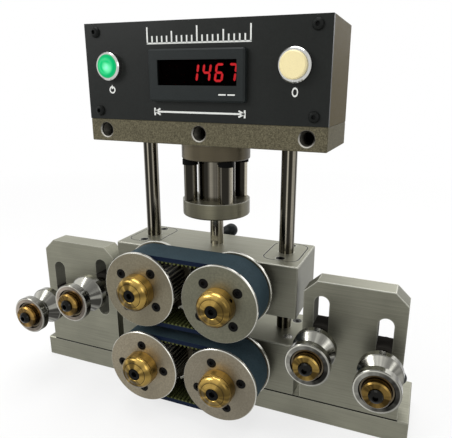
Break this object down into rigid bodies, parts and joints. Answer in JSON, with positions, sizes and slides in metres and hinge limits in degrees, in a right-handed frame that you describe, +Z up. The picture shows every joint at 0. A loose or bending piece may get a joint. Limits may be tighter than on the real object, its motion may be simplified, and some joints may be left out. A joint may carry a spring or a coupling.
{
  "type": "cable length counter",
  "caption": "Bench cable length counter: toothed belts grip the cable between flanged pulleys, grooved rollers guide it, and a panel on top shows the length.",
  "frame": {"origin": "centre of the base plate's underside", "axes": "+X along the cable path to the right, +Y from the front to the rear, +Z up"},
  "size_m": [0.331, 0.1391, 0.2965],
  "materials": {
    "machined_aluminium": "brushed",
    "black_steel": "black oxide",
    "bright_steel": "turned",
    "belt_rubber": "matt",
    "black_plastic": "fine texture",
    "ground_steel": "ground and polished",
    "hammertone_paint": "speckled",
    "black_paint": "satin",
    "display_window": "dark red",
    "chrome_ring": "polished",
    "lamp_plastic": "lit green",
    "cream_plastic": "satin",
    "flange_aluminium": "satin",
    "dark_pulley": "dark anodised",
    "brass": "turned",
    "polished_aluminium": "polished"
  },
  "bodies": {
    "frame": {"base_plate": "machined_aluminium", "base_screws": "black_steel", "lower_block": "machined_aluminium", "block_screws": "black_steel", "lower_bearings": "bright_steel", "lower_belt": "belt_rubber", "encoder": "black_plastic", "roller_plate_left": "machined_aluminium", "roller_plate_right": "machined_aluminium", "guide_rods": "ground_steel", "head_plate": "hammertone_paint", "enclosure_shell": "hammertone_paint", "front_panel": "black_paint", "panel_screws": "black_steel", "counter_bezel": "black_plastic", "counter_window": "display_window", "counter_body": "black_plastic", "control_rings": "chrome_ring", "lamp_lens": "lamp_plastic", "cylinder_top_cap": "flange_aluminium", "cylinder_bottom_cap": "flange_aluminium", "cylinder_tube": "ground_steel", "cylinder_posts": "ground_steel", "post_rings": "black_plastic"},
    "carriage": {"upper_block": "machined_aluminium", "linear_bearings": "bright_steel", "bearing_screws": "black_steel", "upper_bearings": "bright_steel", "upper_belt": "belt_rubber", "piston_rod": "ground_steel"},
    "lock_lever": {"carriage_lock_lever": "black_plastic"},
    "reset_cap": {"reset_button": "cream_plastic"},
    "pulley_upper_left": {"pulley_upper_left": "dark_pulley", "pulley_flanges_upper_left": "flange_aluminium", "pulley_hub_upper_left": "brass"},
    "pulley_upper_right": {"pulley_upper_right": "dark_pulley", "pulley_flanges_upper_right": "flange_aluminium", "pulley_hub_upper_right": "brass"},
    "pulley_lower_left": {"pulley_lower_left": "dark_pulley", "pulley_flanges_lower_left": "flange_aluminium", "pulley_hub_lower_left": "brass"},
    "pulley_lower_right": {"pulley_lower_right": "dark_pulley", "pulley_flanges_lower_right": "flange_aluminium", "pulley_hub_lower_right": "brass"},
    "carrier_left_outer": {"roller_axle_left_outer": "black_steel", "roller_cap_left_outer": "brass"},
    "roller_left_outer": {"guide_roller_left_outer": "polished_aluminium"},
    "lever_left_outer": {"clamp_lever_left_outer": "black_plastic"},
    "carrier_left_inner": {"roller_axle_left_inner": "black_steel", "roller_cap_left_inner": "brass"},
    "roller_left_inner": {"guide_roller_left_inner": "polished_aluminium"},
    "lever_left_inner": {"clamp_lever_left_inner": "black_plastic"},
    "carrier_right_inner": {"roller_axle_right_inner": "black_steel", "roller_cap_right_inner": "brass"},
    "roller_right_inner": {"guide_roller_right_inner": "polished_aluminium"},
    "lever_right_inner": {"clamp_lever_right_inner": "black_plastic"},
    "carrier_right_outer": {"roller_axle_right_outer": "black_steel", "roller_cap_right_outer": "brass"},
    "roller_right_outer": {"guide_roller_right_outer": "polished_aluminium"},
    "lever_right_outer": {"clamp_lever_right_outer": "black_plastic"}
  },
  "joints": [
    {"name": "carriage_slide", "type": "slide", "parent": "frame", "child": "carriage", "axis": [0, 0, 1], "range_m": [0, 0.019]},
    {"name": "lock_lever_turn", "type": "hinge", "parent": "carriage", "child": "lock_lever", "pos_m": [-0.0607, 0.027, 0.09], "axis": [0, 1, 0], "range_deg": [0, 55]},
    {"name": "reset_press", "type": "slide", "parent": "frame", "child": "reset_cap", "axis": [0, 1, 0], "range_m": [0, 0.0025], "stiffness_N_per_m": 400, "springref_m": -0.0025},
    {"name": "upper_left_pulley_spin", "type": "hinge", "parent": "carriage", "child": "pulley_upper_left", "pos_m": [-0.0326, -0.027, 0.1054], "axis": [0, 1, 0], "continuous": true, "deforming": ["upper_belt"]},
    {"name": "upper_right_pulley_spin", "type": "hinge", "parent": "carriage", "child": "pulley_upper_right", "pos_m": [0.0326, -0.027, 0.1054], "axis": [0, 1, 0], "continuous": true},
    {"name": "lower_left_pulley_spin", "type": "hinge", "parent": "frame", "child": "pulley_lower_left", "pos_m": [-0.0326, -0.027, 0.0409], "axis": [0, 1, 0], "continuous": true},
    {"name": "lower_right_pulley_spin", "type": "hinge", "parent": "frame", "child": "pulley_lower_right", "pos_m": [0.0326, -0.027, 0.0409], "axis": [0, 1, 0], "continuous": true, "deforming": ["lower_belt"]},
    {"name": "left_outer_height", "type": "slide", "parent": "frame", "child": "carrier_left_outer", "axis": [0, 0, 1], "range_m": [-0.0032, 0.02]},
    {"name": "left_outer_roller_spin", "type": "hinge", "parent": "carrier_left_outer", "child": "roller_left_outer", "pos_m": [-0.1433, -0.0416, 0.0635], "axis": [0, 1, 0], "continuous": true},
    {"name": "left_outer_lever_turn", "type": "hinge", "parent": "carrier_left_outer", "child": "lever_left_outer", "pos_m": [-0.1433, -0.0109, 0.0635], "axis": [0, 1, 0], "range_deg": [0, 55]},
    {"name": "left_inner_height", "type": "slide", "parent": "frame", "child": "carrier_left_inner", "axis": [0, 0, 1], "range_m": [-0.0139, 0.0093]},
    {"name": "left_inner_roller_spin", "type": "hinge", "parent": "carrier_left_inner", "child": "roller_left_inner", "pos_m": [-0.0974, -0.0416, 0.083], "axis": [0, 1, 0], "continuous": true},
    {"name": "left_inner_lever_turn", "type": "hinge", "parent": "carrier_left_inner", "child": "lever_left_inner", "pos_m": [-0.0974, -0.0109, 0.083], "axis": [0, 1, 0], "range_deg": [0, 55]},
    {"name": "right_inner_height", "type": "slide", "parent": "frame", "child": "carrier_right_inner", "axis": [0, 0, 1], "range_m": [-0.0048, 0.0184]},
    {"name": "right_inner_roller_spin", "type": "hinge", "parent": "carrier_right_inner", "child": "roller_right_inner", "pos_m": [0.0974, -0.0416, 0.0739], "axis": [0, 1, 0], "continuous": true},
    {"name": "right_inner_lever_turn", "type": "hinge", "parent": "carrier_right_inner", "child": "lever_right_inner", "pos_m": [0.0974, -0.0109, 0.0739], "axis": [0, 1, 0], "range_deg": [0, 55]},
    {"name": "right_outer_height", "type": "slide", "parent": "frame", "child": "carrier_right_outer", "axis": [0, 0, 1], "range_m": [-0.0057, 0.0175]},
    {"name": "right_outer_roller_spin", "type": "hinge", "parent": "carrier_right_outer", "child": "roller_right_outer", "pos_m": [0.1433, -0.0416, 0.066], "axis": [0, 1, 0], "continuous": true},
    {"name": "right_outer_lever_turn", "type": "hinge", "parent": "carrier_right_outer", "child": "lever_right_outer", "pos_m": [0.1433, -0.0109, 0.066], "axis": [0, 1, 0], "range_deg": [0, 55]}
  ],
  "couplings": [
    {"joint": "upper_right_pulley_spin", "follows": "upper_left_pulley_spin", "ratio": 1},
    {"joint": "lower_left_pulley_spin", "follows": "lower_right_pulley_spin", "ratio": 1}
  ]
}
